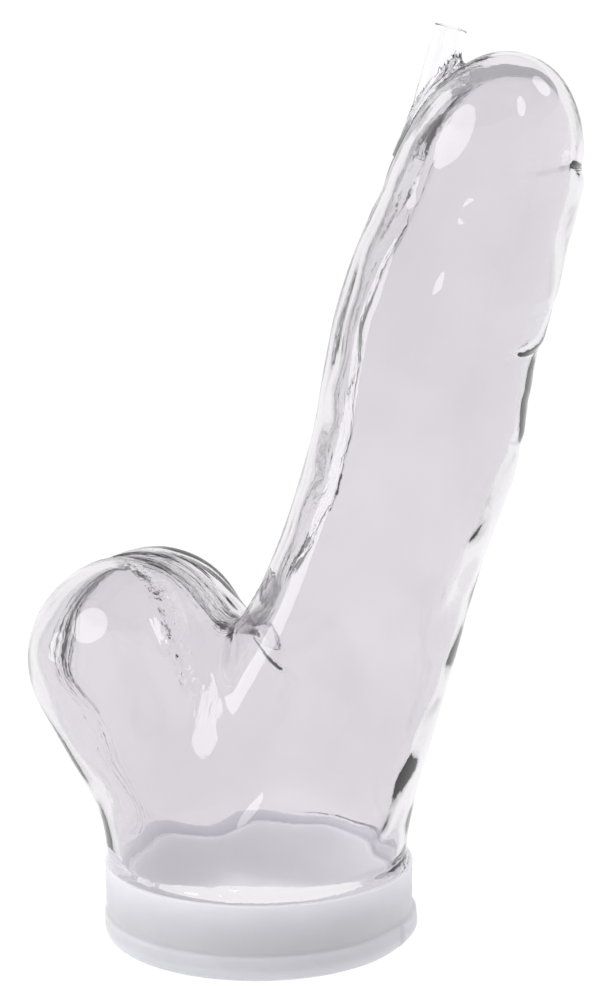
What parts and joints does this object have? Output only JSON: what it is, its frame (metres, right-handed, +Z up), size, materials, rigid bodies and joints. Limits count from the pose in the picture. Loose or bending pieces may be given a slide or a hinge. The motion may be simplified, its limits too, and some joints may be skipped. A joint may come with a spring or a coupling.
{
  "type": "vacuum therapy chamber",
  "caption": "Clear anatomically shaped vacuum chamber with a leaning round-ended shaft, a two-lobed side bulb, a hose nipple and a soft sealing cuff.",
  "frame": {"origin": "centre of the cuff's opening, on the surface that the chamber stands on", "axes": "+Z up, out of the closed end; the shaft leans toward +X and the bulb lies toward -X; XZ is the symmetry plane"},
  "size_m": [0.144, 0.08, 0.231],
  "materials": {
    "clear_acrylic": "gloss",
    "clear_acrylic_tube": "gloss",
    "clear_cement": "gloss",
    "cuff_silicone": "satin"
  },
  "bodies": {
    "cuff": {"sealing_cuff": "cuff_silicone"},
    "chamber": {"chamber_shell": "clear_acrylic", "hose_nipple": "clear_acrylic_tube", "nipple_cement_bead": "clear_cement"}
  },
  "joints": [
    {"name": "chamber_lift_out", "type": "slide", "parent": "cuff", "child": "chamber", "axis": [0, 0, 1], "range_m": [0, 0.03]}
  ]
}
